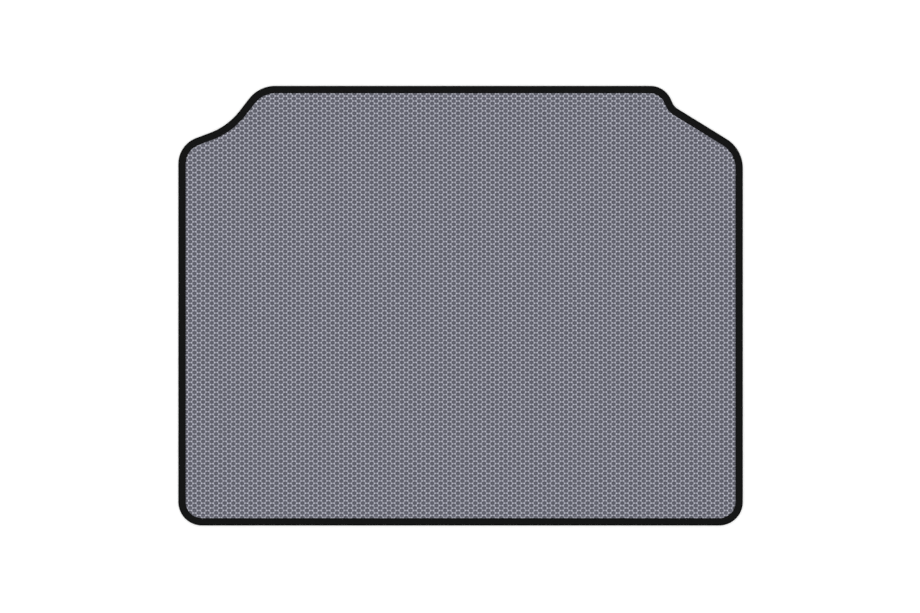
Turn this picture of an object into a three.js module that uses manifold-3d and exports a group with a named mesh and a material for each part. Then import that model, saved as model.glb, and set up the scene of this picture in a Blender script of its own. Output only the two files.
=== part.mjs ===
// Car boot liner: a moulded EVA foam sheet with open honeycomb cells on its upper side. Its cut
// edge is wrapped in a folded textile binding, held by one row of lockstitch all the way round.
// Millimetres, +Z up. The origin is on the underside, in the middle of the overall width and depth.
// +Y points to the seat backs, +X to the right of someone who looks in from the tailgate.
import * as THREE from "three";
import { mergeVertices } from "three/addons/utils/BufferGeometryUtils.js";
import Module from "manifold-3d";

const wasm = await Module();
wasm.setup();

// Overall outline, over the binding
const linerWidth = 1060;
const linerDepth = 825.5;
const tailgateCornerRadius = 44.5;

// Left wheel-arch cut-out: a long S curve from the side up to the seat-back edge
const leftShoulderDrop = 110.5;
const leftShoulderRadius = 51.5;
const leftBendInset = 93;
const leftBendDrop = 75.5;
const leftBendRadius = 128;
const leftTopInset = 151.5;
const leftTopRadius = 62;

// Right wheel-arch cut-out: a short steep step, then a straight slope down to the side
const rightShoulderDrop = 118.5;
const rightShoulderRadius = 64.5;
const rightBendInset = 129;
const rightBendDrop = 39;
const rightBendRadius = 27;
const rightTopInset = 146.5;
const rightTopRadius = 42;

// Foam sheet
const sheetThickness = 10;
const floorThickness = 3;
const rimSqueeze = 3.6; // how much thinner the seam makes it under the binding
const rimSlope = 6; // width over which the squeezed rim rises to the full sheet

// Honeycomb: the moulded cells stand in columns that run from the tailgate to the seats, and
// there are about 11,000 of them. Each pocket here stands for a block of cells with the same
// share of wall to opening, so that the field keeps its look with far fewer faces.
const cellPitch = 9.26; // along a column
const columnPitch = 8.11; // from column to column
const cellWall = 2.2;
const cellsPerPocket = 6; // along each side of the block

// Binding tape
const bindingWidth = 14; // the part that shows, above and below
const tapeThickness = 1;
const tapePuff = 0.6; // how far the tape stands off the foam beside the seam
const foldRadius = 3; // outside, along the liner's edge
const fitGap = 0.3; // between pieces that lie side by side

// Seam
const seamMargin = 2.8; // from the tape's free edge to the thread's middle
const threadWidth = 0.8;
const furrowBank = 0.7; // width of each sloping side of the furrow that the thread pulls into the tape

const arcStep = THREE.MathUtils.degToRad(10);
const foldSteps = 3;

// Sizes that follow from those
const rimUnderside = tapeThickness + tapePuff;
const rimTop = rimUnderside + sheetThickness - rimSqueeze;
const tapeUpperFace = rimTop + tapePuff + tapeThickness;
const foldTop = tapeUpperFace - foldRadius; // where the fold meets the tape's upright part
const foldBottom = foldRadius;
const underBinding = bindingWidth + fitGap;
const fieldInset = underBinding + rimSlope;
const seamInset = bindingWidth - seamMargin;
const furrowWidth = threadWidth + 2 * fitGap;

const foamMaterial = new THREE.MeshStandardMaterial({ color: 0x8f8f9d, roughness: 0.85, metalness: 0 });
const tapeMaterial = new THREE.MeshStandardMaterial({ color: 0x171817, roughness: 0.9, metalness: 0 });
const threadMaterial = new THREE.MeshStandardMaterial({ color: 0x1d1d1f, roughness: 0.6, metalness: 0 });

// The outline's sharp corners, anticlockwise from the right tailgate corner
function outlineCorners() {
  const right = linerWidth / 2;
  const back = linerDepth / 2;
  const corner = (x, y, radius) => ({ at: new THREE.Vector2(x, y), radius });
  return [
    corner(right, -back, tailgateCornerRadius),
    corner(right, back - rightShoulderDrop, rightShoulderRadius),
    corner(right - rightBendInset, back - rightBendDrop, rightBendRadius),
    corner(right - rightTopInset, back, rightTopRadius),
    corner(leftTopInset - right, back, leftTopRadius),
    corner(leftBendInset - right, back - leftBendDrop, leftBendRadius),
    corner(-right, back - leftShoulderDrop, leftShoulderRadius),
    corner(-right, -back, tailgateCornerRadius),
  ];
}

// Points along the rounded outline, each with the direction that points into the liner
function outlineStations() {
  const corners = outlineCorners();
  const neighbour = (index, step) => corners[(index + step + corners.length) % corners.length];
  corners.forEach((corner, index) => {
    const before = corner.at.clone().sub(neighbour(index, -1).at);
    const after = neighbour(index, 1).at.clone().sub(corner.at);
    corner.heading = before.angle();
    corner.turn = Math.atan2(before.cross(after), before.dot(after));
    corner.tangent = corner.radius * Math.tan(Math.abs(corner.turn) / 2);
    corner.edgeBefore = before.length();
    corner.edgeAfter = after.length();
  });
  return corners.flatMap((corner, index) => {
    // A rounding is held back only where two of them would meet on one edge
    const roomBefore = corner.edgeBefore / (corner.tangent + neighbour(index, -1).tangent);
    const roomAfter = corner.edgeAfter / (corner.tangent + neighbour(index, 1).tangent);
    const share = Math.min(1, roomBefore, roomAfter);
    const side = Math.sign(corner.turn);
    const radius = corner.radius * share;
    const inward = (heading) => new THREE.Vector2(-Math.sin(heading), Math.cos(heading));
    const start = new THREE.Vector2(Math.cos(corner.heading), Math.sin(corner.heading))
      .multiplyScalar(-corner.tangent * share)
      .add(corner.at);
    const centre = start.clone().addScaledVector(inward(corner.heading), side * radius);
    const steps = Math.ceil(Math.abs(corner.turn) / arcStep);
    return Array.from({ length: steps + 1 }, (_, step) => {
      const direction = inward(corner.heading + (corner.turn * step) / steps);
      return { at: centre.clone().addScaledVector(direction, -side * radius), inward: direction };
    });
  });
}

const stations = outlineStations();

// The outline moved inwards, as plane points
function insetOutline(inset) {
  return stations.map((station) => station.at.clone().addScaledVector(station.inward, inset));
}

// Carries section points, written as [inset, height], round the outline
function bandAround(section, closed) {
  const rings = section.map(([inset, height]) => insetOutline(inset).map((p) => [p.x, p.y, height]));
  const index = [];
  const around = stations.length;
  const bands = closed ? rings.length : rings.length - 1;
  for (let ring = 0; ring < bands; ring += 1) {
    const here = ring * around;
    const next = ((ring + 1) % rings.length) * around;
    for (let i = 0; i < around; i += 1) {
      const j = (i + 1) % around;
      index.push(here + i, next + i, here + j, next + i, next + j, here + j);
    }
  }
  return { positions: rings.flat(2), index, around, rings };
}

function indexedGeometry(positions, index) {
  const geometry = new THREE.BufferGeometry();
  geometry.setAttribute("position", new THREE.Float32BufferAttribute(positions, 3));
  geometry.setIndex(index);
  return geometry;
}

// A closed section carried all the way round, as the tape and the threads are
function loopGeometry(section) {
  const { positions, index } = bandAround(section, true);
  return indexedGeometry(positions, index);
}

// A slab whose edge has the section, given from the upper face's rim to the lower face's rim
function slabGeometry(section) {
  const { positions, index, around, rings } = bandAround(section, false);
  const lowest = (rings.length - 1) * around;
  const flat = (ring) => ring.map(([x, y]) => new THREE.Vector2(x, y));
  THREE.ShapeUtils.triangulateShape(flat(rings[0]), []).forEach(([a, b, c]) => index.push(a, b, c));
  THREE.ShapeUtils.triangulateShape(flat(rings.at(-1)), []).forEach(([a, b, c]) =>
    index.push(lowest + c, lowest + b, lowest + a),
  );
  return indexedGeometry(positions, index);
}

function solidFrom(geometry) {
  const bare = geometry.clone();
  bare.deleteAttribute("normal");
  bare.deleteAttribute("uv");
  const merged = mergeVertices(bare, 1e-4);
  return new wasm.Manifold(
    new wasm.Mesh({
      numProp: 3,
      vertProperties: merged.attributes.position.array,
      triVerts: new Uint32Array(merged.index.array),
    }),
  );
}

function geometryFrom(solid) {
  const { vertProperties, triVerts } = solid.getMesh();
  return indexedGeometry(vertProperties, [...triVerts]);
}

// The mouths of the pockets, over the whole field and a little past its border
function pocketMouths(border) {
  const pitch = cellPitch * cellsPerPocket;
  const columnStep = columnPitch * cellsPerPocket;
  const cornerRadius = (pitch - cellWall * cellsPerPocket) / Math.sqrt(3);
  const columns = Math.ceil(linerWidth / 2 / columnStep);
  const rows = Math.ceil(linerDepth / 2 / pitch);
  const mouths = [];
  for (let column = -columns; column <= columns; column += 1) {
    const x = column * columnStep;
    const shift = column % 2 === 0 ? 0 : pitch / 2;
    for (let row = -rows; row <= rows; row += 1) {
      const y = row * pitch + shift;
      if (!encloses(border, x, y)) continue;
      const corners = Array.from({ length: 6 }, (_, corner) => {
        const angle = (corner * Math.PI) / 3;
        return new THREE.Vector2(x + cornerRadius * Math.cos(angle), y + cornerRadius * Math.sin(angle));
      });
      mouths.push(new THREE.Shape(corners));
    }
  }
  return mouths;
}

function encloses(polygon, x, y) {
  let inside = false;
  polygon.forEach((a, index) => {
    const b = polygon[(index + 1) % polygon.length];
    const crosses = a.y > y !== b.y > y && x < ((b.x - a.x) * (y - a.y)) / (b.y - a.y) + a.x;
    if (crosses) inside = !inside;
  });
  return inside;
}

function foamSheet() {
  const edge = tapeThickness + fitGap;
  // The binding's pull rounds off the cut edge's corners
  const blank = slabGeometry([
    [fieldInset, sheetThickness],
    [underBinding, rimTop],
    [foldRadius, rimTop],
    [edge, foldTop],
    [edge, foldBottom],
    [foldRadius, rimUnderside],
    [underBinding, rimUnderside],
    [fieldInset, 0],
  ]);
  const pocketWall = cellWall * cellsPerPocket;
  const cellDepth = sheetThickness - floorThickness;
  const cutter = { depth: 2 * cellDepth, bevelEnabled: false };
  const raised = (shapes) => new THREE.ExtrudeGeometry(shapes, cutter).translate(0, 0, floorThickness);
  const mouths = raised(pocketMouths(insetOutline(fieldInset - pocketWall / 2)));
  const field = raised(new THREE.Shape(insetOutline(fieldInset + pocketWall / 2)));
  return geometryFrom(solidFrom(blank).subtract(solidFrom(mouths).intersect(solidFrom(field))));
}

// One face of a tape flap, from its free edge round the fold to the tape's upright part, as
// [inset, height over the squeezed foam]. The furrow draws it down under the thread.
function flapFace(lift) {
  const nearBank = seamInset + furrowWidth / 2;
  const farBank = seamInset - furrowWidth / 2;
  const top = lift + tapePuff;
  const foldedFace = foldRadius - tapeThickness + lift;
  const face = [
    [bindingWidth, top],
    [nearBank + furrowBank, top],
    [nearBank, lift],
    [farBank, lift],
    [farBank - furrowBank, top],
  ];
  for (let step = 0; step <= foldSteps; step += 1) {
    const angle = (step / foldSteps) * (Math.PI / 2);
    face.push([
      foldRadius - foldedFace * Math.sin(angle),
      top - foldedFace * (1 - Math.cos(angle)),
    ]);
  }
  return face;
}

// The tape wraps the edge alike above and below, so both halves come from one flap
function bindingTape() {
  const outside = flapFace(tapeThickness);
  const inside = flapFace(0);
  const above = ([inset, height]) => [inset, rimTop + height];
  const below = ([inset, height]) => [inset, rimUnderside - height];
  return loopGeometry([
    ...outside.map(above),
    ...outside.toReversed().map(below),
    ...inside.map(below),
    ...inside.toReversed().map(above),
  ]);
}

// A thread lies on the furrow's floor and fills it up to the tape's face
function seamThread(floor, face) {
  const low = Math.min(floor, face);
  const high = Math.max(floor, face);
  const near = seamInset + threadWidth / 2;
  const far = seamInset - threadWidth / 2;
  return loopGeometry([
    [near, high],
    [far, high],
    [far, low],
    [near, low],
  ]);
}

function addPiece(group, name, geometry, material) {
  const mesh = new THREE.Mesh(geometry, material);
  mesh.name = name;
  group.add(mesh);
}

const liner = new THREE.Group();
addPiece(liner, "foam_sheet", foamSheet(), foamMaterial);
addPiece(liner, "edge_binding", bindingTape(), tapeMaterial);
addPiece(liner, "needle_thread", seamThread(rimTop + tapeThickness, tapeUpperFace), threadMaterial);
addPiece(liner, "bobbin_thread", seamThread(rimUnderside - tapeThickness, 0), threadMaterial);

export default liner;
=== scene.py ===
# Car boot liner: a grey honeycomb foam sheet with a black woven binding sewn round its edge.
# The frame gives the pieces' places; this script makes what they look like.
import math

import bmesh
import bpy
import numpy as np
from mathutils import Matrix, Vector


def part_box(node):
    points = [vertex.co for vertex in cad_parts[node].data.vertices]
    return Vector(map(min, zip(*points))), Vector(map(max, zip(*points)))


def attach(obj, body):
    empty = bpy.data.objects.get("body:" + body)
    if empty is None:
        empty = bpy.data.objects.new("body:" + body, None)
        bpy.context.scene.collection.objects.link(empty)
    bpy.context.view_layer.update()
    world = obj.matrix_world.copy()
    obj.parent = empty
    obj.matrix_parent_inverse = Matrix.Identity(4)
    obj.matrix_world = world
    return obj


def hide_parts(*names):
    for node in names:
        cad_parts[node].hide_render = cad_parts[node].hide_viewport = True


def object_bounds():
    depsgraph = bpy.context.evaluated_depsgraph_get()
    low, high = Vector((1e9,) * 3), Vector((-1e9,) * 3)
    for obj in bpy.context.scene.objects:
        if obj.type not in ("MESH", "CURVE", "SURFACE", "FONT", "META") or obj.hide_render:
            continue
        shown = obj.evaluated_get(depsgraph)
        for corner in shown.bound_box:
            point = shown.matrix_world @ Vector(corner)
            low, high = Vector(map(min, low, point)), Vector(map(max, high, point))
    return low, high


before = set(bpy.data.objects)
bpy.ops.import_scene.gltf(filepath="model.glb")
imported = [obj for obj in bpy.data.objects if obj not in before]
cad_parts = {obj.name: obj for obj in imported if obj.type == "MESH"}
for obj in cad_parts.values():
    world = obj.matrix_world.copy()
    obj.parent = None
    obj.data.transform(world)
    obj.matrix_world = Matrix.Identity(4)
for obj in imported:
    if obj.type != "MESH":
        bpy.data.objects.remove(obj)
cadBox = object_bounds()
mm = 0.001
noiseSpan = (0.3, 0.7)  # nearly all of a noise texture's values lie between these
scene = bpy.context.scene


# What the camera sees, in the photograph's frame
photo = {
    "width": 920,
    "height": 613,
    "linerWidth": 564.78,  # pixels over the binding
    "linerMiddle": (460.58, 305.71),  # pixels from the frame's top left corner
    "lens": 250,  # mm; long, because the photograph shows no perspective
    "sensor": 36,
}

# Sizes in mm, shared by all the pieces, as the solids have them
liner = {
    "tailgateRadius": 44.5,
    "leftShoulder": {"drop": 110.5, "radius": 51.5},
    "leftBend": {"inset": 93, "drop": 75.5, "radius": 128},
    "leftTop": {"inset": 151.5, "radius": 62},
    "rightShoulder": {"drop": 118.5, "radius": 64.5},
    "rightBend": {"inset": 129, "drop": 39, "radius": 27},
    "rightTop": {"inset": 146.5, "radius": 42},
    "arcStep": 2.5,  # degrees
    "thickness": 10,
    "rimUnderside": 1.6,  # where the binding squeezes the foam
    "rimTop": 8.0,
    "bindingWidth": 14,
    "seamInset": 11.2,
    "stitchCount": 592,
    "tapeFace": 9.6,  # height of the binding's upper face; its lower face lies on the ground
}


def hexColour(code):
    # sRGB hex to the linear values that Blender works in
    channels = [int(code[i : i + 2], 16) / 255 for i in (1, 3, 5)]
    linear = [c / 12.92 if c <= 0.04045 else ((c + 0.055) / 1.055) ** 2.4 for c in channels]
    return (*linear, 1)


def addNode(tree, kind, inputs=None, **settings):
    # One node with its settings; an input is a value or another node's output
    made = tree.nodes.new(kind)
    for name, value in settings.items():
        setattr(made, name, value)
    for key, value in (inputs or {}).items():
        if isinstance(value, bpy.types.NodeSocket):
            tree.links.new(value, made.inputs[key])
        else:
            made.inputs[key].default_value = value
    return made


def newTree(name, sizes):
    # A geometry tree with its named inputs: gives the tree and its inputs' sockets
    tree = bpy.data.node_groups.new(name, "GeometryNodeTree")
    tree.interface.new_socket("Geometry", in_out="INPUT", socket_type="NodeSocketGeometry")
    for label, kind in sizes.items():
        tree.interface.new_socket(label, in_out="INPUT", socket_type="NodeSocket" + kind)
    tree.interface.new_socket("Geometry", in_out="OUTPUT", socket_type="NodeSocketGeometry")
    return tree, addNode(tree, "NodeGroupInput").outputs


def endTree(tree, geometry, material):
    # Every tree ends the same way: real geometry with its material on
    solid = addNode(tree, "GeometryNodeRealizeInstances", {"Geometry": geometry}).outputs[0]
    dressed = addNode(tree, "GeometryNodeSetMaterial", {"Geometry": solid, "Material": material})
    addNode(tree, "NodeGroupOutput", {0: dressed.outputs[0]})


def meshFromTree(name, host, tree, values):
    # Runs the tree on a copy of the host and keeps the result as a plain mesh
    worker = host.copy()
    scene.collection.objects.link(worker)
    modifier = worker.modifiers.new(name, "NODES")
    modifier.node_group = tree
    for item in tree.interface.items_tree:
        if item.in_out == "INPUT" and item.name in values:
            modifier[item.identifier] = values[item.name]
    worker.update_tag()
    evaluated = worker.evaluated_get(bpy.context.evaluated_depsgraph_get())
    mesh = bpy.data.meshes.new_from_object(evaluated)
    bpy.data.objects.remove(worker)
    mesh.name = name
    piece = bpy.data.objects.new(name, mesh)
    scene.collection.objects.link(piece)
    return piece


def newMaterial(name):
    material = bpy.data.materials.new(name)
    material.use_nodes = True
    return material, material.node_tree, material.node_tree.nodes["Principled BSDF"]


def readAll(items, name, kind, width=1):
    # One value, or a row of them, from each of a mesh's corners, faces, points or attribute's values
    values = np.empty(len(items) * width, dtype=kind)
    items.foreach_get(name, values)
    return values


def dropAttributes(mesh, *names):
    for name in names:
        if name in mesh.attributes:
            mesh.attributes.remove(mesh.attributes[name])


def seenRays(tree):
    # 1 for rays that show the surface itself, straight or in gloss or glass, and 0 for its light on others
    path = addNode(tree, "ShaderNodeLightPath").outputs
    seen = addNode(tree, "ShaderNodeMath", {0: path["Is Camera Ray"], 1: path["Is Glossy Ray"]},
                   operation="MAXIMUM").outputs[0]
    return addNode(tree, "ShaderNodeMath", {0: seen, 1: path["Is Transmission Ray"]},
                   operation="MAXIMUM").outputs[0]


# The outline


def outlinePoints(inset):
    # Round the liner anticlockwise from the right tailgate corner, in metres
    low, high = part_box("edge_binding")
    left, right, front, back = low.x, high.x, low.y, high.y
    shoulderL, bendL, topL = liner["leftShoulder"], liner["leftBend"], liner["leftTop"]
    shoulderR, bendR, topR = liner["rightShoulder"], liner["rightBend"], liner["rightTop"]
    corners = [
        (right, front, liner["tailgateRadius"]),
        (right, back - shoulderR["drop"] * mm, shoulderR["radius"]),
        (right - bendR["inset"] * mm, back - bendR["drop"] * mm, bendR["radius"]),
        (right - topR["inset"] * mm, back, topR["radius"]),
        (left + topL["inset"] * mm, back, topL["radius"]),
        (left + bendL["inset"] * mm, back - bendL["drop"] * mm, bendL["radius"]),
        (left, back - shoulderL["drop"] * mm, shoulderL["radius"]),
        (left, front, liner["tailgateRadius"]),
    ]
    points = []
    for index, (x, y, radius) in enumerate(corners):
        at = Vector((x, y))
        before = at - Vector(corners[index - 1][:2])
        after = Vector(corners[(index + 1) % len(corners)][:2]) - at
        heading = math.atan2(before.y, before.x)
        turn = math.atan2(before.cross(after), before.dot(after))
        side = math.copysign(radius * mm, turn)
        tangent = abs(side * math.tan(turn / 2))
        centre = at - before.normalized() * tangent
        centre += Vector((-math.sin(heading), math.cos(heading))) * side
        steps = math.ceil(abs(math.degrees(turn)) / liner["arcStep"])
        for step in range(steps + 1):
            angle = heading + turn * step / steps
            points.append(centre + Vector((math.sin(angle), -math.cos(angle))) * (side - inset * mm))
    return points


def closedLoop(name, points):
    # A ring of bare edges, for the trees to follow
    mesh = bpy.data.meshes.new(name)
    edges = [(i, (i + 1) % len(points)) for i in range(len(points))]
    mesh.from_pydata([(x, y, 0) for x, y in points], edges, [])
    return bpy.data.objects.new(name, mesh)


outline = closedLoop("liner outline", outlinePoints(0))
seamLine = closedLoop("seam line", outlinePoints(liner["seamInset"]))
seamPoints = [v.co for v in seamLine.data.vertices]
seamLength = sum((a - b).length for a, b in zip(seamPoints, seamPoints[1:] + seamPoints[:1])) / mm
stitchPitch = seamLength / liner["stitchCount"]
print("outline", len(outline.data.vertices), "points, seam", round(seamLength), "mm")


# Foam sheet

foam = {
    "cellPitch": 9.262,  # along a column of cells
    "columnPitch": 8.111,
    "middleCell": (3.35, 4.52),  # where the cell nearest to the liner's middle lies
    "columns": 133,
    "rows": 95,
    # Each cell's mouth and floor: half the web beside it, depth below the crest beside the web and in
    # the corners, and how round it is, from 0 for a hexagon to 1 for a circle
    "rings": [(0.28, 1.4, 0.2, 1), (1.9, 6.9, 6.9, 1)],
    "oval": 1.022,  # each cell's well is a little wider than it is deep from front to back
    "floorRise": 2.5,  # the middle of each cell's floor stands this much higher
    "keptInset": 8.2,  # cells whose middle lies nearer to the edge than this are left out
    "cutInset": 1.8,  # where the sheet was cut, inside the binding
    "pressedTo": 13.4,  # the sheet is pressed flat from the cut edge up to here
    "fullFrom": 20.5,  # and has its full thickness from here
    "shut": 0.5,  # how far the binding squeezes the cells beside it shut, from 0 to 1; this also lightens the painted shade in them
    "strips": 4,  # the sheet is one moulding, and its mesh is kept as strips of columns
}


def cellTile():
    # One moulded cell: half a web on each of its six sides, its floor and the underside
    half = foam["cellPitch"] / 2
    stretch = foam["columnPitch"] / (half * math.sqrt(3))
    build = bmesh.new()

    def ring(corners, web, middleDepth, cornerDepth, roundness, oval=1):
        made = []
        for i in range(corners):
            angle = 2 * math.pi * i / corners
            onCorner = i % (corners // 6) == 0
            radius = half - web
            if onCorner:
                radius *= roundness + (1 - roundness) / math.cos(math.pi / 6)
            height = liner["thickness"] - (cornerDepth if onCorner else middleDepth)
            place = (radius * stretch * oval * math.cos(angle), radius / oval * math.sin(angle), height)
            made.append(build.verts.new(Vector(place) * mm))
        return made

    base = ring(6, 0, liner["thickness"], liner["thickness"], 0)
    crest = ring(6, 0, 0, 0, 0)
    mouth, foot = [ring(12, *sizes, foam["oval"]) for sizes in foam["rings"]]
    build.faces.new(reversed(base))
    for i in range(6):
        here, there = crest[i], crest[(i + 1) % 6]
        before, middle, after = mouth[2 * i], mouth[2 * i + 1], mouth[(2 * i + 2) % 12]
        build.faces.new((here, middle, before))
        build.faces.new((here, there, middle))
        build.faces.new((there, after, middle))
    floor = liner["thickness"] - foam["rings"][-1][1] + foam["floorRise"]
    centre = build.verts.new((0, 0, floor * mm))
    for i in range(12):
        j = (i + 1) % 12
        build.faces.new((foot[i], mouth[i], mouth[j], foot[j]))
        build.faces.new((foot[i], foot[j], centre))
    mesh = bpy.data.meshes.new("moulded cell")
    build.to_mesh(mesh)
    build.free()
    return bpy.data.objects.new("moulded cell", mesh)


def honeycombTree():
    tree, given = newTree("honeycomb sheet", {
        "Cell": "Object", "Cell pitch": "Float", "Column pitch": "Float", "Middle cell": "Vector",
        "Columns": "Int", "Rows": "Int", "Strip": "Int", "Strip columns": "Float",
        "Kept inset": "Float", "Cut inset": "Float", "Pressed to": "Float", "Full from": "Float",
        "Shut": "Float", "Thickness": "Float", "Rim top": "Float", "Rim underside": "Float",
        "Material": "Material",
    })
    weld = 0.02 * mm  # corners of two cells that lie nearer than this are one
    slack = mm  # a point inside the outline can be found this far from it
    crispAngle = math.radians(50)
    apart = 0.1  # strips are numbered 0, 1, 2 and on, so this tells two apart
    outlineEdges = given["Geometry"]
    outlineCurve = addNode(tree, "GeometryNodeMeshToCurve", {"Mesh": outlineEdges}).outputs[0]
    region = addNode(tree, "GeometryNodeFillCurve", {"Curve": outlineCurve}, mode="NGONS").outputs[0]
    position = addNode(tree, "GeometryNodeInputPosition").outputs[0]
    flat = addNode(tree, "ShaderNodeVectorMath", {0: position, 1: (1, 1, 0)},
                   operation="MULTIPLY").outputs[0]
    nearest = addNode(tree, "GeometryNodeProximity", {"Geometry": outlineEdges, "Sample Position": flat},
                      target_element="EDGES").outputs
    inset = nearest["Distance"]
    height = addNode(tree, "ShaderNodeSeparateXYZ", {0: position}).outputs[2]

    # The lattice: every second column stands half a cell further on
    columnSteps = addNode(tree, "ShaderNodeMath", {0: given["Columns"], 1: 1},
                          operation="SUBTRACT").outputs[0]
    rowSteps = addNode(tree, "ShaderNodeMath", {0: given["Rows"], 1: 1}, operation="SUBTRACT").outputs[0]
    width = addNode(tree, "ShaderNodeMath", {0: columnSteps, 1: given["Column pitch"]},
                    operation="MULTIPLY")
    depth = addNode(tree, "ShaderNodeMath", {0: rowSteps, 1: given["Cell pitch"]}, operation="MULTIPLY")
    grid = addNode(tree, "GeometryNodeMeshGrid", {
        "Size X": width.outputs[0], "Size Y": depth.outputs[0],
        "Vertices X": given["Columns"], "Vertices Y": given["Rows"],
    }).outputs[0]
    x = addNode(tree, "ShaderNodeSeparateXYZ", {0: position}).outputs[0]
    column = addNode(tree, "ShaderNodeMath", {0: x, 1: given["Column pitch"]},
                     operation="DIVIDE").outputs[0]
    odd = addNode(tree, "ShaderNodeMath", {0: column, 1: 1}, operation="PINGPONG").outputs[0]
    halfPitch = addNode(tree, "ShaderNodeMath", {0: given["Cell pitch"], 1: 0.5},
                        operation="MULTIPLY").outputs[0]
    rise = addNode(tree, "ShaderNodeMath", {0: odd, 1: halfPitch}, operation="MULTIPLY").outputs[0]
    step = addNode(tree, "ShaderNodeCombineXYZ", {"Y": rise}).outputs[0]
    shift = addNode(tree, "ShaderNodeVectorMath", {0: step, 1: given["Middle cell"]}).outputs[0]

    # Which strip a column belongs to, counted from the left
    half = addNode(tree, "ShaderNodeMath", {0: given["Columns"], 1: 0.5}, operation="MULTIPLY").outputs[0]
    counted = addNode(tree, "ShaderNodeMath", {0: column, 1: half}).outputs[0]
    share = addNode(tree, "ShaderNodeMath", {0: counted, 1: given["Strip columns"]},
                    operation="DIVIDE").outputs[0]
    number = addNode(tree, "ShaderNodeMath", {0: share}, operation="FLOOR").outputs[0]
    marked = addNode(tree, "GeometryNodeStoreNamedAttribute",
                     {"Geometry": grid, "Name": "strip", "Value": number},
                     data_type="FLOAT", domain="POINT").outputs[0]
    lattice = addNode(tree, "GeometryNodeSetPosition", {"Geometry": marked, "Offset": shift}).outputs[0]

    # Cells outside the liner, or too near to its edge, are left out
    over = addNode(tree, "GeometryNodeProximity", {"Geometry": region, "Sample Position": flat},
                   target_element="FACES").outputs["Distance"]
    outside = addNode(tree, "FunctionNodeCompare", {0: over, 1: slack}, operation="GREATER_THAN").outputs[0]
    near = addNode(tree, "FunctionNodeCompare", {0: inset, 1: given["Kept inset"]},
                   operation="LESS_THAN").outputs[0]
    lost = addNode(tree, "FunctionNodeBooleanMath", {0: outside, 1: near}, operation="OR").outputs[0]
    kept = addNode(tree, "GeometryNodeDeleteGeometry", {"Geometry": lattice, "Selection": lost},
                   domain="POINT").outputs[0]
    cell = addNode(tree, "GeometryNodeObjectInfo", {"Object": given["Cell"]}).outputs["Geometry"]
    cells = addNode(tree, "GeometryNodeInstanceOnPoints", {"Points": kept, "Instance": cell}).outputs[0]
    real = addNode(tree, "GeometryNodeRealizeInstances", {"Geometry": cells}).outputs[0]
    strip = addNode(tree, "GeometryNodeInputNamedAttribute", {"Name": "strip"},
                    data_type="FLOAT").outputs[0]
    faced = addNode(tree, "GeometryNodeStoreNamedAttribute",
                    {"Geometry": real, "Name": "strip of face", "Value": strip},
                    data_type="FLOAT", domain="FACE").outputs[0]
    welded = addNode(tree, "GeometryNodeMergeByDistance", {"Geometry": faced, "Distance": weld}).outputs[0]

    # The cells' outermost corners are drawn out to the cut edge
    faces = addNode(tree, "GeometryNodeInputMeshEdgeNeighbors").outputs[0]
    single = addNode(tree, "FunctionNodeCompare", {2: faces, 3: 1}, data_type="INT",
                     operation="EQUAL").outputs[0]
    border = addNode(tree, "GeometryNodeFieldOnDomain", {0: single}, data_type="BOOLEAN",
                     domain="EDGE").outputs[0]
    arm = addNode(tree, "ShaderNodeVectorMath", {0: flat, 1: nearest["Position"]},
                  operation="SUBTRACT").outputs[0]
    reach = addNode(tree, "ShaderNodeMath", {0: given["Cut inset"], 1: inset},
                    operation="DIVIDE").outputs[0]
    short = addNode(tree, "ShaderNodeVectorMath", {0: arm, "Scale": reach}, operation="SCALE").outputs[0]
    cut = addNode(tree, "ShaderNodeVectorMath", {0: nearest["Position"], 1: short}).outputs[0]
    upright = addNode(tree, "ShaderNodeCombineXYZ", {"Z": height}).outputs[0]
    place = addNode(tree, "ShaderNodeVectorMath", {0: cut, 1: upright}).outputs[0]
    trimmed = addNode(tree, "GeometryNodeSetPosition",
                      {"Geometry": welded, "Selection": border, "Position": place}).outputs[0]

    # One strip, closed round its sides
    mine = addNode(tree, "GeometryNodeInputNamedAttribute", {"Name": "strip of face"},
                   data_type="FLOAT").outputs[0]
    other = addNode(tree, "FunctionNodeCompare", {0: mine, 1: given["Strip"], 12: apart},
                    operation="NOT_EQUAL").outputs[0]
    alone = addNode(tree, "GeometryNodeDeleteGeometry", {"Geometry": trimmed, "Selection": other},
                    domain="FACE").outputs[0]
    middle = addNode(tree, "ShaderNodeMath", {0: given["Thickness"], 1: 0.5},
                     operation="MULTIPLY").outputs[0]
    upper = addNode(tree, "FunctionNodeCompare", {0: height, 1: middle},
                    operation="GREATER_THAN").outputs[0]
    rim = addNode(tree, "FunctionNodeBooleanMath", {0: border, 1: upper}, operation="AND").outputs[0]
    drop = addNode(tree, "ShaderNodeMath", {0: given["Thickness"], 1: -1}, operation="MULTIPLY").outputs[0]
    down = addNode(tree, "ShaderNodeCombineXYZ", {"Z": drop}).outputs[0]
    walled = addNode(tree, "GeometryNodeExtrudeMesh", {"Mesh": alone, "Selection": rim, "Offset": down},
                     mode="EDGES").outputs
    sided = addNode(tree, "GeometryNodeStoreNamedAttribute",
                    {"Geometry": walled["Mesh"], "Name": "side", "Value": walled["Side"]},
                    data_type="BOOLEAN", domain="FACE").outputs[0]
    closed = addNode(tree, "GeometryNodeMergeByDistance", {"Geometry": sided, "Distance": weld}).outputs[0]
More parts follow.
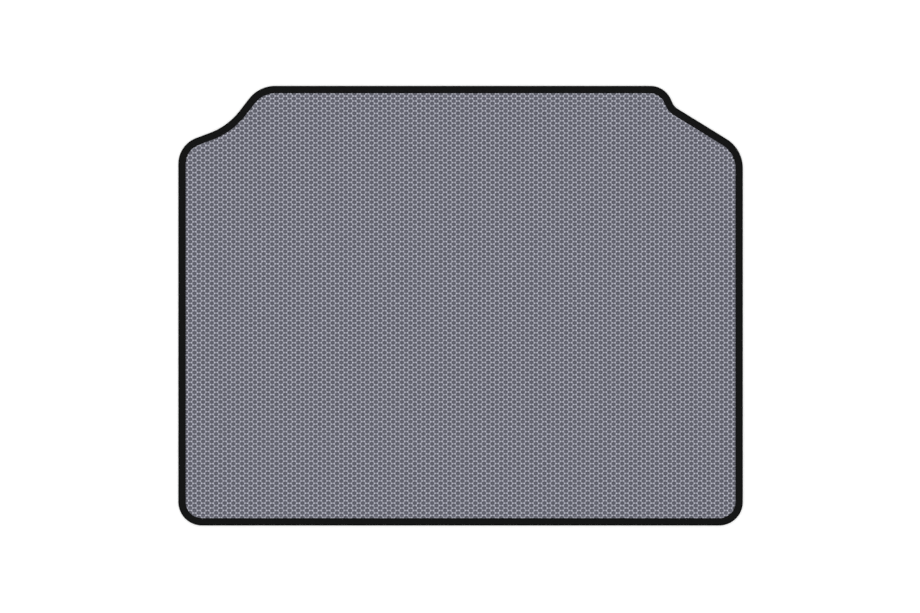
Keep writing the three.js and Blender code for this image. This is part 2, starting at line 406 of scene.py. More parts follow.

    # How high each point lies in the moulding, from 0 on the underside to 1 on a crest: the binding
    # squeezes the cells beside it part of the way shut. The foam's colour reads this height for its painted
    # shade, so the squeezed cells are painted lighter
    squeezed = addNode(tree, "ShaderNodeMapRange", {
        "Value": inset, 1: given["Pressed to"], 2: given["Full from"], 3: 1, 4: 0,
    }, interpolation_type="SMOOTHSTEP").outputs[0]
    share = addNode(tree, "ShaderNodeMath", {0: height, 1: given["Thickness"]},
                    operation="DIVIDE").outputs[0]
    gap = addNode(tree, "ShaderNodeMath", {0: 1, 1: share}, operation="SUBTRACT").outputs[0]
    room = addNode(tree, "ShaderNodeMath", {0: share, 1: gap}, operation="MULTIPLY").outputs[0]
    shut = addNode(tree, "ShaderNodeMath", {0: squeezed, 1: given["Shut"]}, operation="MULTIPLY").outputs[0]
    mould = addNode(tree, "ShaderNodeMath", {0: room, 1: shut, 2: share},
                    operation="MULTIPLY_ADD").outputs[0]
    closed = addNode(tree, "GeometryNodeStoreNamedAttribute",
                     {"Geometry": closed, "Name": "mouldHeight", "Value": mould},
                     data_type="FLOAT", domain="POINT").outputs[0]

    # The binding squeezes the rim thin too, and the sheet rises to its full thickness beside it
    top = addNode(tree, "ShaderNodeMapRange",
                  {"Value": squeezed, 3: given["Thickness"], 4: given["Rim top"]}).outputs[0]
    base = addNode(tree, "ShaderNodeMapRange",
                   {"Value": squeezed, 3: 0, 4: given["Rim underside"]}).outputs[0]
    level = addNode(tree, "ShaderNodeMapRange", {"Value": mould, 3: base, 4: top}).outputs[0]
    xy = addNode(tree, "ShaderNodeSeparateXYZ", {0: position}).outputs
    pressed = addNode(tree, "ShaderNodeCombineXYZ", {0: xy[0], 1: xy[1], 2: level}).outputs[0]
    shaped = addNode(tree, "GeometryNodeSetPosition", {"Geometry": closed, "Position": pressed}).outputs[0]

    # The moulding is soft all over, and only its cut sides are crisp
    angle = addNode(tree, "GeometryNodeInputMeshEdgeAngle").outputs[0]
    steep = addNode(tree, "FunctionNodeCompare", {0: angle, 1: crispAngle},
                    operation="GREATER_THAN").outputs[0]
    side = addNode(tree, "GeometryNodeInputNamedAttribute", {"Name": "side"},
                   data_type="BOOLEAN").outputs[0]
    crisp = addNode(tree, "FunctionNodeBooleanMath", {0: steep, 1: side}, operation="AND").outputs[0]
    creased = addNode(tree, "GeometryNodeStoreNamedAttribute",
                      {"Geometry": shaped, "Name": "sharp_edge", "Value": crisp},
                      data_type="BOOLEAN", domain="EDGE").outputs[0]
    smooth = addNode(tree, "GeometryNodeSetShadeSmooth", {"Geometry": creased}).outputs[0]
    endTree(tree, smooth, given["Material"])
    return tree


def foamMaterial():
    # Moulded closed-cell EVA foam: matt, with a faint skin grain and soft mottling, and painted shade that
    # darkens its colour from the crests down to the cell floors
    full = liner["thickness"]
    look = {
        "crest": "#E0E1EE",  # painted light: the crests are painted palest
        "wall": "#A4A5B3",
        "floor": "#6C6D79",  # painted shade: the cell floors are painted darker, for the shade down in the cells
        "underside": "#9C9DA9",
        "floorTop": 3 / full,
        "wallTop": 9.4 / full,
        "crestFrom": 9.9 / full,
        "underTop": 2 / full,
        "mottle": 4.5,  # mm, breadth of the soft patches
        "mottleDepth": 0.09,
        "grain": 0.5,  # mm, the foam skin's cells
        "grainHeight": 0.08,
        "roughness": (0.76, 0.9),
    }
    material, tree, shader = newMaterial("mouldedEvaFoam")
    place = addNode(tree, "ShaderNodeTexCoord").outputs["Object"]
    height = addNode(tree, "ShaderNodeAttribute", attribute_name="mouldHeight").outputs["Fac"]
    # Painted shade: by height in the moulding, the colour goes from the pale crests down the walls to the
    # dark floors
    depth = addNode(tree, "ShaderNodeMapRange",
                    {"Value": height, 1: look["floorTop"], 2: look["wallTop"]}).outputs[0]
    onCrest = addNode(tree, "ShaderNodeMapRange",
                      {"Value": height, 1: look["wallTop"], 2: look["crestFrom"]}).outputs[0]
    under = addNode(tree, "ShaderNodeMath", {0: height, 1: look["underTop"]},
                    operation="LESS_THAN").outputs[0]
    level = hexColour(look["floor"])
    for share, name in ((depth, "wall"), (onCrest, "crest"), (under, "underside")):
        level = addNode(tree, "ShaderNodeMix", {0: share, 6: level, 7: hexColour(look[name])},
                        data_type="RGBA").outputs[2]
    patches = addNode(tree, "ShaderNodeTexNoise",
                      {"Vector": place, "Scale": 1 / (look["mottle"] * mm), "Detail": 3}).outputs[0]
    shade = addNode(tree, "ShaderNodeMapRange", {
        "Value": patches, 1: noiseSpan[0], 2: noiseSpan[1],
        3: 1 - look["mottleDepth"], 4: 1 + look["mottleDepth"],
    }).outputs[0]
    colour = addNode(tree, "ShaderNodeVectorMath", {0: level, "Scale": shade}, operation="SCALE").outputs[0]
    tree.links.new(colour, shader.inputs["Base Color"])
    grain = addNode(tree, "ShaderNodeTexNoise",
                    {"Vector": place, "Scale": 1 / (look["grain"] * mm)}).outputs[0]
    bump = addNode(tree, "ShaderNodeBump",
                   {"Height": grain, "Distance": look["grainHeight"] * mm}).outputs[0]
    tree.links.new(bump, shader.inputs["Normal"])
    dull = addNode(tree, "ShaderNodeMapRange", {
        "Value": grain, 1: noiseSpan[0], 2: noiseSpan[1], 3: look["roughness"][0], 4: look["roughness"][1],
    }).outputs[0]
    tree.links.new(dull, shader.inputs["Roughness"])
    return material


def layHoneycombMap(mesh):
    # A plan of the strip: its upper side over most of the map, its underside beside it, then its
    # upright sides. Each has its start and its width, as shares of the map
    margin = 0.004
    upperPart, underPart, sidePart = (margin, 0.78), (0.8, 0.16), (0.972, 0.02)
    sideRun, sideShift = 0.9, 0.09  # keeps the upright sides clear of each other
    facingDown = -0.5  # a face whose normal is steeper than this belongs to the underside
    corner = readAll(mesh.loops, "vertex_index", np.int32)
    places = readAll(mesh.vertices, "co", float, 3).reshape(-1, 3)
    low, high = places.min(axis=0), places.max(axis=0)
    share = ((places - low) / (high - low))[corner]
    normals = readAll(mesh.polygons, "normal", float, 3)
    sizes = readAll(mesh.polygons, "loop_total", np.int32)
    side = readAll(mesh.attributes["side"].data, "value", bool)
    under = np.repeat((normals[2::3] < facingDown) & ~side, sizes)
    side = np.repeat(side, sizes)
    u = upperPart[0] + upperPart[1] * share[:, 0]
    v = margin + (1 - 2 * margin) * share[:, 1]
    u[under] = underPart[0] + underPart[1] * share[under, 0]
    u[side] = sidePart[0] + sidePart[1] * share[side, 2]
    v[side] = margin + sideRun * share[side, 1] + sideShift * share[side, 0]
    layer = mesh.uv_layers.new(name="OFBake")
    layer.uv.foreach_set("vector", np.column_stack((u, v)).ravel())
    dropAttributes(mesh, "strip", "strip of face", "side")


def makeFoamSheet():
    material = foamMaterial()
    tree = honeycombTree()
    cell = cellTile()
    for strip in range(foam["strips"]):
        piece = meshFromTree("foam_strip_%d" % (strip + 1), outline, tree, {
            "Cell": cell,
            "Cell pitch": foam["cellPitch"] * mm,
            "Column pitch": foam["columnPitch"] * mm,
            "Middle cell": (foam["middleCell"][0] * mm, foam["middleCell"][1] * mm, 0),
            "Columns": foam["columns"],
            "Rows": foam["rows"],
            "Strip": strip,
            "Strip columns": foam["columns"] / foam["strips"],
            "Kept inset": foam["keptInset"] * mm,
            "Cut inset": foam["cutInset"] * mm,
            "Pressed to": foam["pressedTo"] * mm,
            "Full from": foam["fullFrom"] * mm,
            "Shut": foam["shut"],
            "Thickness": liner["thickness"] * mm,
            "Rim top": liner["rimTop"] * mm,
            "Rim underside": liner["rimUnderside"] * mm,
            "Material": material,
        })
        layHoneycombMap(piece.data)
        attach(piece, "root")
        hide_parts("foam_sheet")
        print("foam strip", strip + 1, len(piece.data.polygons), "faces")
    bpy.data.objects.remove(cell)


makeFoamSheet()


# Edge binding

binding = {
    "thickness": 1.0,
    "stand": 0.6,  # how far the tape stands off the pressed foam beside the seam
    "foldRadius": 3.0,
    "crown": 0.2,  # the tape swells between the seam and the fold
    "furrowWidth": 2.6,  # the seam pulls the tape down over this width
    "edgeRound": 0.25,
    "foldSteps": 4,
    "insets": [13.75, 13.2, 12.5, 11.95, 11.55, 11.2, 10.85, 10.45, 9.9, 9.0, 7.2, 5.0, 3.0],
    "hiddenInsets": [13.75, 12.1, 11.2, 10.3, 3.0],
    "pucker": 0.14,  # the tape bulges between two stitch holes
    "sway": 0.12,  # the sewn tape isn't quite even
    "swayLength": 45,
    "stationsPerStitch": 3,
    "bakeRows": 8,  # of the tape's length in the map for baking
}


def tapeSection():
    # Once round the tape's section: inset from the liner's edge, and height
    face, radius = liner["tapeFace"], binding["foldRadius"]
    half = binding["furrowWidth"] / 2

    def height(inset, crown):
        away = min(1, abs(inset - liner["seamInset"]) / half)
        dip = binding["stand"] * (1 + math.cos(math.pi * away)) / 2
        share = (inset - radius) / (liner["bindingWidth"] - radius)
        return face + crown * math.sin(math.pi * share) ** 2 - dip

    def fold(depth):
        turns = [math.pi / 2 * step / binding["foldSteps"] for step in range(1, binding["foldSteps"] + 1)]
        return [(radius - depth * math.sin(a), face - radius + depth * math.cos(a)) for a in turns]

    def side(insets, depth, crown):
        flap = [(inset, height(inset, crown) - depth) for inset in insets]
        return flap + fold(radius - depth)

    def under(points):
        return [(inset, face - z) for inset, z in points]

    edge, corner = liner["bindingWidth"], binding["edgeRound"]
    upperEdge = [(edge, face - binding["thickness"] + corner), (edge, face - corner)]
    outer = side(binding["insets"], 0, binding["crown"])
    outerUnder = under(side(binding["insets"][::2], 0, 0))
    inner = side(binding["hiddenInsets"], binding["thickness"], 0)
    return upperEdge + outer + outerUnder[::-1] + under(upperEdge)[::-1] + under(inner) + inner[::-1]


def tapeTree():
    tree, given = newTree("folded binding tape", {
        "Section": "Object", "Stitches": "Int", "Stations per stitch": "Int", "Furrow width": "Float",
        "Face": "Float", "Pucker": "Float", "Sway": "Float", "Sway length": "Float", "Material": "Material",
    })
    upperFrom = (0.55, 0.85)  # shares of the binding's height between which the upper flap starts to move
    lowerFrom = (0.15, 0.03)  # and the lower one
    grounded = 0.4 * mm  # what lies lower than this rests on the ground
    seam = addNode(tree, "GeometryNodeMeshToCurve", {"Mesh": given["Geometry"]}).outputs[0]
    stations = addNode(tree, "ShaderNodeMath", {0: given["Stitches"], 1: given["Stations per stitch"]},
                       operation="MULTIPLY").outputs[0]
    even = addNode(tree, "GeometryNodeResampleCurve", {"Curve": seam, "Count": stations}).outputs[0]
    upright = addNode(tree, "GeometryNodeSetCurveNormal", {"Curve": even}, mode="Z_UP").outputs[0]
    index = addNode(tree, "GeometryNodeInputIndex").outputs[0]
    numbered = addNode(tree, "GeometryNodeStoreNamedAttribute",
                       {"Geometry": upright, "Name": "station", "Value": index},
                       data_type="FLOAT", domain="POINT").outputs[0]
    section = addNode(tree, "GeometryNodeObjectInfo", {"Object": given["Section"]}).outputs["Geometry"]
    profile = addNode(tree, "GeometryNodeMeshToCurve", {"Mesh": section}).outputs[0]
    position = addNode(tree, "GeometryNodeInputPosition").outputs[0]
    across = addNode(tree, "ShaderNodeSeparateXYZ", {0: position}).outputs[0]
    ringed = addNode(tree, "GeometryNodeStoreNamedAttribute",
                     {"Geometry": profile, "Name": "around", "Value": index},
                     data_type="FLOAT", domain="POINT").outputs[0]
    ringed = addNode(tree, "GeometryNodeStoreNamedAttribute",
                     {"Geometry": ringed, "Name": "from seam", "Value": across},
                     data_type="FLOAT", domain="POINT").outputs[0]
    tape = addNode(tree, "GeometryNodeCurveToMesh", {"Curve": numbered, "Profile Curve": ringed}).outputs[0]

    # Between two holes the tape bulges out of the furrow, away from the sheet
    station = addNode(tree, "GeometryNodeInputNamedAttribute", {"Name": "station"},
                      data_type="FLOAT").outputs[0]
    fromSeam = addNode(tree, "GeometryNodeInputNamedAttribute", {"Name": "from seam"},
                       data_type="FLOAT").outputs[0]
    stitch = addNode(tree, "ShaderNodeMath", {0: station, 1: given["Stations per stitch"]},
                     operation="MODULO").outputs[0]
    between = addNode(tree, "ShaderNodeMath", {0: stitch, 1: 1}, operation="MINIMUM").outputs[0]
    distance = addNode(tree, "ShaderNodeMath", {0: fromSeam}, operation="ABSOLUTE").outputs[0]
    beside = addNode(tree, "ShaderNodeMapRange", {"Value": distance, 2: given["Furrow width"], 3: 1, 4: 0},
                     interpolation_type="SMOOTHSTEP").outputs[0]
    bulge = addNode(tree, "ShaderNodeMath", {0: between, 1: beside}, operation="MULTIPLY").outputs[0]
    lift = addNode(tree, "ShaderNodeMath", {0: bulge, 1: given["Pucker"]}, operation="MULTIPLY").outputs[0]

    # The hand-guided tape swells and sinks a little along its length
    frequency = addNode(tree, "ShaderNodeMath", {0: 1, 1: given["Sway length"]},
                        operation="DIVIDE").outputs[0]
    wave = addNode(tree, "ShaderNodeTexNoise",
                   {"Vector": position, "Scale": frequency, "Detail": 1}).outputs[0]
    swing = addNode(tree, "ShaderNodeMapRange", {
        "Value": wave, 1: noiseSpan[0], 2: noiseSpan[1], 3: -1, 4: 1,
    }).outputs[0]
    sway = addNode(tree, "ShaderNodeMath", {0: swing, 1: given["Sway"]}, operation="MULTIPLY").outputs[0]
    flank = addNode(tree, "ShaderNodeMath", {0: 1, 1: beside}, operation="SUBTRACT").outputs[0]
    swayed = addNode(tree, "ShaderNodeMath", {0: sway, 1: flank}, operation="MULTIPLY").outputs[0]
    rise = addNode(tree, "ShaderNodeMath", {0: lift, 1: swayed}).outputs[0]

    # Only the upper flap moves up: the lower one lies on the ground, and only its furrow changes
    height = addNode(tree, "ShaderNodeSeparateXYZ", {0: position}).outputs[2]
    share = addNode(tree, "ShaderNodeMapRange", {"Value": height, 2: given["Face"], 3: 0, 4: 1}).outputs[0]
    upper = addNode(tree, "ShaderNodeMapRange",
                    {"Value": share, 1: upperFrom[0], 2: upperFrom[1]}).outputs[0]
    up = addNode(tree, "ShaderNodeMath", {0: rise, 1: upper}, operation="MULTIPLY").outputs[0]
    lower = addNode(tree, "ShaderNodeMapRange", {
        "Value": share, 1: lowerFrom[0], 2: lowerFrom[1], 3: 0, 4: -1,
    }).outputs[0]
    furrow = addNode(tree, "ShaderNodeMath", {0: height, 1: grounded}, operation="GREATER_THAN").outputs[0]
    down = addNode(tree, "ShaderNodeMath", {0: lift, 1: lower}, operation="MULTIPLY").outputs[0]
    down = addNode(tree, "ShaderNodeMath", {0: down, 1: furrow}, operation="MULTIPLY").outputs[0]
    total = addNode(tree, "ShaderNodeMath", {0: up, 1: down}).outputs[0]
    offset = addNode(tree, "ShaderNodeCombineXYZ", {2: total}).outputs[0]
    sewn = addNode(tree, "GeometryNodeSetPosition", {"Geometry": tape, "Offset": offset}).outputs[0]
    smooth = addNode(tree, "GeometryNodeSetShadeSmooth", {"Geometry": sewn}).outputs[0]
    endTree(tree, smooth, given["Material"])
    return tree


def tapeMaterial():
    # Black woven polyester tape: matt, because its ribs trap the light between them
    look = {
        "thread": "#1A1B1B",
        "gap": "#080808",
        "middle": 18.3,  # mm from the free edge to the middle of the fold
        "foldReach": (3.0, 7.5),  # painted shade: the colour darkens over the fold, whose sides face away from the light
        "foldShade": 0.3,
        "edgeShadeReach": (0.4, 2.0),  # and painted shade along its free edges
        "edgeShadeStrength": 0.5,
        "warp": 0.9,  # mm between the threads along the tape
        "weft": 1.1,  # mm between the ribs across it
        "relief": 0.12,  # mm
        "roughness": (1.0, 0.82),  # in the gaps and on the threads
        "specular": 0.03,
    }
    material, tree, shader = newMaterial("wovenPolyesterTape")
    threads = addNode(tree, "ShaderNodeUVMap", uv_map="tapeThreads").outputs[0]
    pitch = (1 / look["weft"], 1 / look["warp"], 1)
    counted = addNode(tree, "ShaderNodeVectorMath", {0: threads, 1: pitch}, operation="MULTIPLY").outputs[0]
    turned = addNode(tree, "ShaderNodeVectorMath", {0: counted, "Scale": math.pi},
                     operation="SCALE").outputs[0]
    waves = addNode(tree, "ShaderNodeVectorMath", {0: turned}, operation="SINE").outputs[0]
    wave = addNode(tree, "ShaderNodeSeparateXYZ", {0: waves}).outputs
    crossing = addNode(tree, "ShaderNodeMath", {0: wave[0], 1: wave[1]}, operation="MULTIPLY").outputs[0]
    warpOnTop = addNode(tree, "ShaderNodeMath", {0: crossing, 1: 0}, operation="GREATER_THAN").outputs[0]
    ribs = addNode(tree, "ShaderNodeVectorMath", {0: waves}, operation="ABSOLUTE").outputs[0]
    rib = addNode(tree, "ShaderNodeSeparateXYZ", {0: ribs}).outputs
    relief = addNode(tree, "ShaderNodeMix", {0: warpOnTop, 2: rib[0], 3: rib[1]}).outputs[0]
    colour = addNode(tree, "ShaderNodeMix",
                     {0: relief, 6: hexColour(look["gap"]), 7: hexColour(look["thread"])},
                     data_type="RGBA").outputs[2]
    # Painted shade: darker over the fold and along the free edges, by the distance across the tape from the
    # fold's middle
    across = addNode(tree, "ShaderNodeSeparateXYZ", {0: threads}).outputs[1]
    offMiddle = addNode(tree, "ShaderNodeMath", {0: across, 1: look["middle"]},
                        operation="SUBTRACT").outputs[0]
    away = addNode(tree, "ShaderNodeMath", {0: offMiddle}, operation="ABSOLUTE").outputs[0]
    foldPaintedShade = addNode(tree, "ShaderNodeMapRange", {
        "Value": away, 1: look["foldReach"][0], 2: look["foldReach"][1], 3: look["foldShade"],
    }, interpolation_type="SMOOTHSTEP").outputs[0]
    edgePaintedShade = addNode(tree, "ShaderNodeMapRange", {
        "Value": away, 1: look["middle"] - look["edgeShadeReach"][0], 2: look["middle"] - look["edgeShadeReach"][1],
        3: look["edgeShadeStrength"],
    }, interpolation_type="SMOOTHSTEP").outputs[0]
    shade = addNode(tree, "ShaderNodeMath", {0: foldPaintedShade, 1: edgePaintedShade}, operation="MULTIPLY").outputs[0]
    colour = addNode(tree, "ShaderNodeVectorMath", {0: colour, "Scale": shade},
                     operation="SCALE").outputs[0]
    tree.links.new(colour, shader.inputs["Base Color"])
    bump = addNode(tree, "ShaderNodeBump", {"Height": relief, "Distance": look["relief"] * mm}).outputs[0]
    tree.links.new(bump, shader.inputs["Normal"])
    dull = addNode(tree, "ShaderNodeMapRange",
                   {"Value": relief, 3: look["roughness"][0], 4: look["roughness"][1]}).outputs[0]
    tree.links.new(dull, shader.inputs["Roughness"])
    shader.inputs["Specular IOR Level"].default_value = look["specular"]
    return material


def layTapeMaps(mesh, section):
    # A map in mm for the weave, and one for baking with the tape's length stacked in rows
    margin, rowMargin = 0.004, 0.02
    stations = liner["stitchCount"] * binding["stationsPerStitch"]
    corner = readAll(mesh.loops, "vertex_index", np.int32)
    along, around = [readAll(mesh.attributes[name].data, "value", np.float32)[corner].reshape(-1, 4)
                     for name in ("station", "around")]
    along[(along == 0) & (along.max(axis=1, keepdims=True) > 1)] = stations
    around[(around == 0) & (around.max(axis=1, keepdims=True) > 1)] = len(section)
    ring = np.array(section + section[:1])
    reach = np.concatenate(([0], np.cumsum(np.hypot(*np.diff(ring, axis=0).T))))
    across = reach[around.astype(int)]
    threads = mesh.uv_layers.new(name="tapeThreads")
    flat = np.stack((along * (seamLength / stations), across), axis=2)
    threads.uv.foreach_set("vector", flat.astype(np.float32).ravel())
    perRow = stations / binding["bakeRows"]
    row = along.min(axis=1, keepdims=True) // perRow
    u = margin + (1 - 2 * margin) * (along / perRow - row)
    v = (row + rowMargin + (1 - 2 * rowMargin) * across / reach[-1]) / binding["bakeRows"]
    baked = mesh.uv_layers.new(name="OFBake")
    baked.uv.foreach_set("vector", np.stack((u, v), axis=2).astype(np.float32).ravel())
    dropAttributes(mesh, "station", "around", "from seam")


def makeBinding():
    section = tapeSection()
    points = [((liner["seamInset"] - inset) * mm, -z * mm) for inset, z in section]
    profile = closedLoop("tape section", points)
    piece = meshFromTree("binding_tape", seamLine, tapeTree(), {
        "Section": profile,
        "Stitches": liner["stitchCount"],
        "Stations per stitch": binding["stationsPerStitch"],
        "Furrow width": binding["furrowWidth"] * mm,
        "Face": liner["tapeFace"] * mm,
        "Pucker": binding["pucker"] * mm,
        "Sway": binding["sway"] * mm,
        "Sway length": binding["swayLength"] * mm,
        "Material": tapeMaterial(),
    })
    layTapeMaps(piece.data, section)
    bpy.data.objects.remove(profile)
    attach(piece, "root")
    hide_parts("edge_binding")
    print("binding tape", len(piece.data.polygons), "faces")


makeBinding()


# Seam threads

thread = {
    "diameter": 0.6,
    "dive": 0.5,  # how deep the ends go into their holes
    "slant": 0.3,  # lockstitches lie a little askew
    "sides": 6,
    "twist": 1.4,  # mm along the thread for one turn of its plies
    "askew": 0.05,
    "seed": 5,
    # From hole to hole: share of the stitch's length, and height from -1 in the hole to 1 on the tape
    "path": [(-0.5, -1), (-0.46, 0), (-0.3, 0.8), (0, 1), (0.3, 0.8), (0.46, 0), (0.5, -1)],
}


def stitchTile():
    # One stitch from hole to hole, standing on its row's line
    margin = 0.02  # on the map, at both ends of the stitch
    radius, sides = thread["diameter"] / 2, thread["sides"]
    points = []
    for share, level in thread["path"]:
        lift = radius * level if level > 0 else thread["dive"] * level
        points.append(Vector((share * stitchPitch, thread["slant"] * share, lift)))
    build = bmesh.new()
    layer = build.loops.layers.uv.new("OFBake")
    rings = []
    for i, point in enumerate(points):
        ahead = (points[min(i + 1, len(points) - 1)] - points[max(i - 1, 0)]).normalized()
        level = Vector((0, 1, 0))
        up = ahead.cross(level).normalized() * -1
        spokes = [2 * math.pi * j / sides for j in range(sides)]
        rings.append([build.verts.new((point + (level * math.cos(a) + up * math.sin(a)) * radius) * mm)
                      for a in spokes])
    for i, (near, far) in enumerate(zip(rings, rings[1:])):
        for j in range(sides):
            face = build.faces.new((near[j], far[j], far[(j + 1) % sides], near[(j + 1) % sides]))
            for loop, (a, b) in zip(face.loops, ((i, j), (i + 1, j), (i + 1, j + 1), (i, j + 1))):
                loop[layer].uv = (margin + (1 - 2 * margin) * a / (len(points) - 1), b / sides)
    for ring in (rings[0], rings[-1]):
        face = build.faces.new(ring)
        for loop in face.loops:
            loop[layer].uv = (margin / 4, 0.5)
    bmesh.ops.recalc_face_normals(build, faces=build.faces[:])
    mesh = bpy.data.meshes.new("stitch")
    build.to_mesh(mesh)
    build.free()
    return bpy.data.objects.new("stitch", mesh)


def stitchTree():
    tree, given = newTree("row of lockstitches", {
        "Stitch": "Object", "Stitches": "Int", "Height": "Float", "Up": "Vector", "Askew": "Float",
        "Seed": "Int", "Material": "Material",
    })
    seam = addNode(tree, "GeometryNodeMeshToCurve", {"Mesh": given["Geometry"]}).outputs[0]
    halves = addNode(tree, "ShaderNodeMath", {0: given["Stitches"], 1: 2}, operation="MULTIPLY").outputs[0]
    even = addNode(tree, "GeometryNodeResampleCurve", {"Curve": seam, "Count": halves}).outputs[0]
    lift = addNode(tree, "ShaderNodeCombineXYZ", {2: given["Height"]}).outputs[0]
    raised = addNode(tree, "GeometryNodeSetPosition", {"Geometry": even, "Offset": lift}).outputs[0]
    index = addNode(tree, "GeometryNodeInputIndex").outputs[0]
    odd = addNode(tree, "ShaderNodeMath", {0: index, 1: 1}, operation="PINGPONG").outputs[0]
    tangent = addNode(tree, "GeometryNodeInputTangent").outputs[0]
    least = addNode(tree, "ShaderNodeMath", {0: given["Askew"], 1: -1}, operation="MULTIPLY").outputs[0]
    aside = addNode(tree, "FunctionNodeRandomValue", {2: least, 3: given["Askew"], "Seed": given["Seed"]},
                    data_type="FLOAT").outputs[1]
    sideways = addNode(tree, "ShaderNodeVectorMath", {0: tangent, 1: given["Up"]},
                       operation="CROSS_PRODUCT").outputs[0]
    drift = addNode(tree, "ShaderNodeVectorMath", {0: sideways, "Scale": aside},
                    operation="SCALE").outputs[0]
    ahead = addNode(tree, "ShaderNodeVectorMath", {0: tangent, 1: drift}).outputs[0]
    turned = addNode(tree, "FunctionNodeAxesToRotation",
                     {"Primary Axis": given["Up"], "Secondary Axis": ahead},
                     primary_axis="Z", secondary_axis="X").outputs[0]
    stitch = addNode(tree, "GeometryNodeObjectInfo", {"Object": given["Stitch"]}).outputs["Geometry"]
    row = addNode(tree, "GeometryNodeInstanceOnPoints", {
        "Points": raised, "Selection": odd, "Instance": stitch, "Rotation": turned,
    }).outputs[0]
    real = addNode(tree, "GeometryNodeRealizeInstances", {"Geometry": row}).outputs[0]
    smooth = addNode(tree, "GeometryNodeSetShadeSmooth", {"Geometry": real}).outputs[0]
    endTree(tree, smooth, given["Material"])
    return tree


def threadMaterial():
    # Black bonded polyester thread: three plies under a thin satin coat
    look = {
        "ply": "#17181A",
        "groove": "#070708",
        "plies": 3,
        "relief": 0.06,  # mm
        "roughness": 0.6,
        "specular": 0.15,
    }
    material, tree, shader = newMaterial("bondedPolyesterThread")
    place = addNode(tree, "ShaderNodeUVMap", uv_map="OFBake").outputs[0]
    part = addNode(tree, "ShaderNodeSeparateXYZ", {0: place}).outputs
    turns = addNode(tree, "ShaderNodeMath", {0: part[0], 1: round(stitchPitch / thread["twist"])},
                    operation="MULTIPLY").outputs[0]
    plies = addNode(tree, "ShaderNodeMath", {0: part[1], 1: look["plies"]}, operation="MULTIPLY").outputs[0]
    phase = addNode(tree, "ShaderNodeMath", {0: turns, 1: plies}).outputs[0]
    relief = addNode(tree, "ShaderNodeMath", {0: phase, 1: 0.5}, operation="PINGPONG").outputs[0]
    colour = addNode(tree, "ShaderNodeMix",
                     {0: relief, 6: hexColour(look["groove"]), 7: hexColour(look["ply"])},
                     data_type="RGBA").outputs[2]
    tree.links.new(colour, shader.inputs["Base Color"])
    bump = addNode(tree, "ShaderNodeBump", {"Height": relief, "Distance": look["relief"] * mm}).outputs[0]
    tree.links.new(bump, shader.inputs["Normal"])
    shader.inputs["Roughness"].default_value = look["roughness"]
    shader.inputs["Specular IOR Level"].default_value = look["specular"]
    return material


def makeStitches():
    tree, stitch, material = stitchTree(), stitchTile(), threadMaterial()
    furrow = liner["tapeFace"] - binding["stand"]
    rows = {"needle": (furrow, 1), "bobbin": (liner["tapeFace"] - furrow, -1)}
    for name, (height, up) in rows.items():
        piece = meshFromTree(name + "_stitches", seamLine, tree, {
            "Stitch": stitch,
            "Stitches": liner["stitchCount"],
            "Height": height * mm,
            "Up": (0, 0, up),
            "Askew": thread["askew"],
            "Seed": thread["seed"],
            "Material": material,
        })
        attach(piece, "root")
        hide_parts(name + "_thread")
        print(piece.name, len(piece.data.polygons), "faces, pitch", round(stitchPitch, 2), "mm")
    bpy.data.objects.remove(stitch)


makeStitches()


# Stage, light and camera


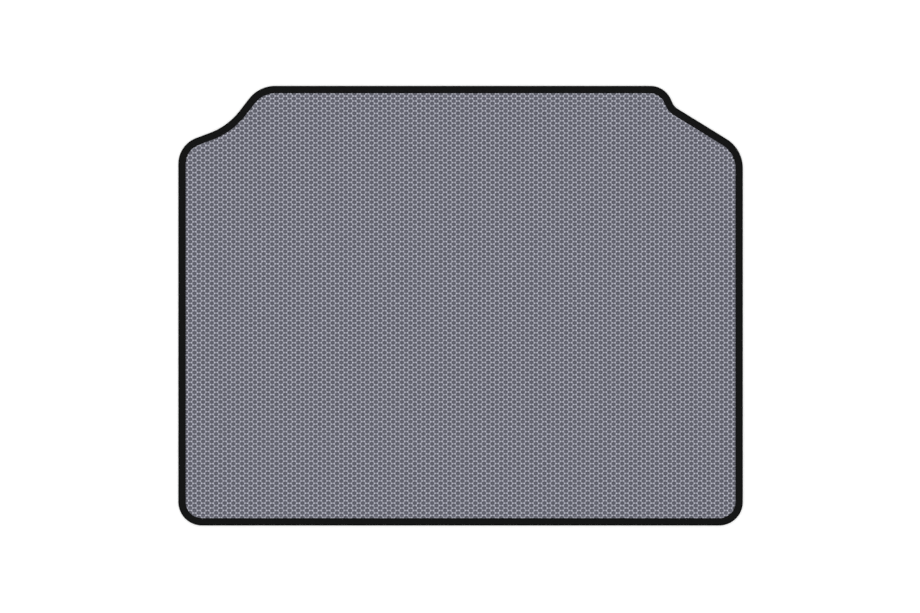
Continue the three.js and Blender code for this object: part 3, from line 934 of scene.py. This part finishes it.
def makeStage():
    floor = {
        "size": 12,  # m
        "colour": "#E6E6E6",
        "drop": 0.2,  # mm, keeps it clear of the liner's underside
        "lift": 0.4,  # what it glows with, as it is seen
    }
    mesh = bpy.data.meshes.new("floor")
    half = floor["size"] / 2
    corners = [(-half, -half), (half, -half), (half, half), (-half, half)]
    mesh.from_pydata([(x, y, -floor["drop"] * mm) for x, y in corners], [], [(0, 1, 2, 3)])
    ground = bpy.data.objects.new("floor", mesh)
    scene.collection.objects.link(ground)
    material, tree, shader = newMaterial("palePaintedFloor")
    shader.inputs["Base Color"].default_value = hexColour(floor["colour"])
    shader.inputs["Roughness"].default_value = 1
    shader.inputs["Specular IOR Level"].default_value = 0
    # The floor as it is seen is lifted to white, and its shadow stays
    strength = addNode(tree, "ShaderNodeMath", {0: seenRays(tree), 1: floor["lift"]},
                       operation="MULTIPLY").outputs[0]
    glow = addNode(tree, "ShaderNodeEmission", {"Strength": strength}).outputs[0]
    both = addNode(tree, "ShaderNodeAddShader", {0: shader.outputs[0], 1: glow}).outputs[0]
    tree.links.new(both, tree.nodes["Material Output"].inputs["Surface"])
    mesh.materials.append(material)


def makeLight():
    light = {
        "horizon": 0.45,
        "zenith": 1.12,
        "lamp": 12,  # W
        "lampSize": 3,  # m
        "lampPlace": (-0.3, 0.4, 3),
    }
    world = bpy.data.worlds.new("studio")
    world.use_nodes = True
    tree = world.node_tree
    sky = tree.nodes["Background"]
    direction = addNode(tree, "ShaderNodeTexCoord").outputs["Generated"]
    height = addNode(tree, "ShaderNodeSeparateXYZ", {0: direction}).outputs[2]
    sent = addNode(tree, "ShaderNodeMapRange",
                   {"Value": height, 3: light["horizon"], 4: light["zenith"]}).outputs[0]
    strength = addNode(tree, "ShaderNodeMix", {0: seenRays(tree), 2: sent, 3: 1}).outputs[0]
    sky.inputs["Color"].default_value = (1, 1, 1, 1)
    tree.links.new(strength, sky.inputs["Strength"])
    scene.world = world
    lamp = bpy.data.lights.new("softbox", "AREA")
    lamp.energy = light["lamp"]
    lamp.size = light["lampSize"]
    holder = bpy.data.objects.new("softbox", lamp)
    holder.location = light["lampPlace"]
    holder.rotation_euler = (-Vector(light["lampPlace"])).to_track_quat("-Z", "Y").to_euler()
    scene.collection.objects.link(holder)


def makeCamera():
    # Straight above the liner, which lies where the photograph has it
    low, high = cadBox
    perPixel = (high.x - low.x) / photo["linerWidth"]
    distance = perPixel * photo["width"] * photo["lens"] / photo["sensor"]
    aside = (photo["linerMiddle"][0] - photo["width"] / 2) * perPixel
    above = (photo["height"] / 2 - photo["linerMiddle"][1]) * perPixel
    camera = bpy.data.cameras.new("camera")
    camera.lens = photo["lens"]
    camera.sensor_width = photo["sensor"]
    camera.clip_end = 100  # m, well past the floor
    holder = bpy.data.objects.new("camera", camera)
    holder.location = (-aside, -above, high.z + distance)
    scene.collection.objects.link(holder)
    scene.camera = holder


makeStage()
makeLight()
makeCamera()
scene.view_settings.view_transform = "Standard"
print("stage, light and camera")
